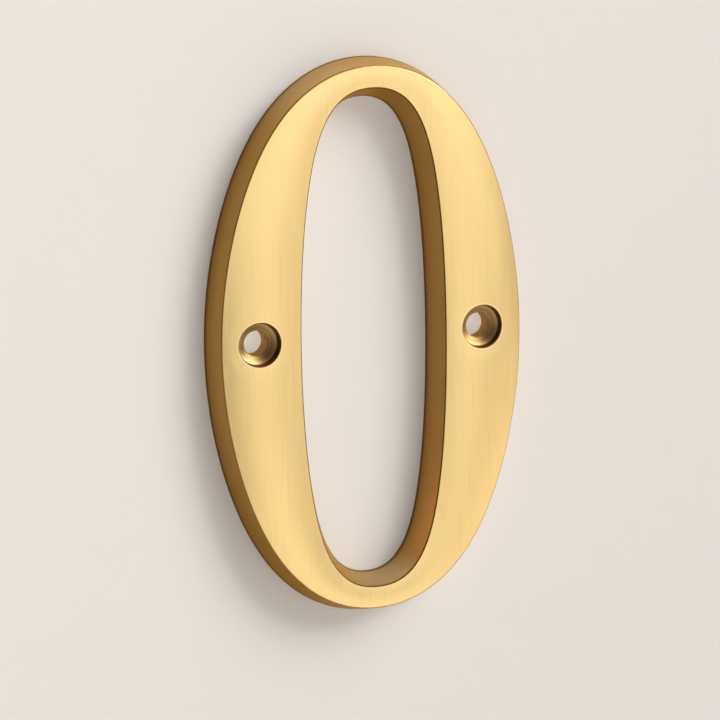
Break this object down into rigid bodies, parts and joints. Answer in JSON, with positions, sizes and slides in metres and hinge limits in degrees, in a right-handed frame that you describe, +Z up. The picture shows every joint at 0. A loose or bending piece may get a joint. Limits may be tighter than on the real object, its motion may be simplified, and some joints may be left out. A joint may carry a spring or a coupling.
{
  "type": "door number",
  "caption": "Cast brass door numeral zero: an upright oval ring with a crowned face, sloping sides, a flat back and a sunk screw hole in each side stroke.",
  "frame": {"origin": "the point on the flat back midway between the two screw holes", "axes": "+Z up along the numeral's height, +X to the right as the numeral is read, -Y out of the face, +Y into the door"},
  "size_m": [0.0625, 0.0056, 0.1019],
  "materials": {
    "brass": "satin, with a fine upright grain"
  },
  "bodies": {
    "root": {"numeral_zero": "brass"}
  },
  "joints": []
}
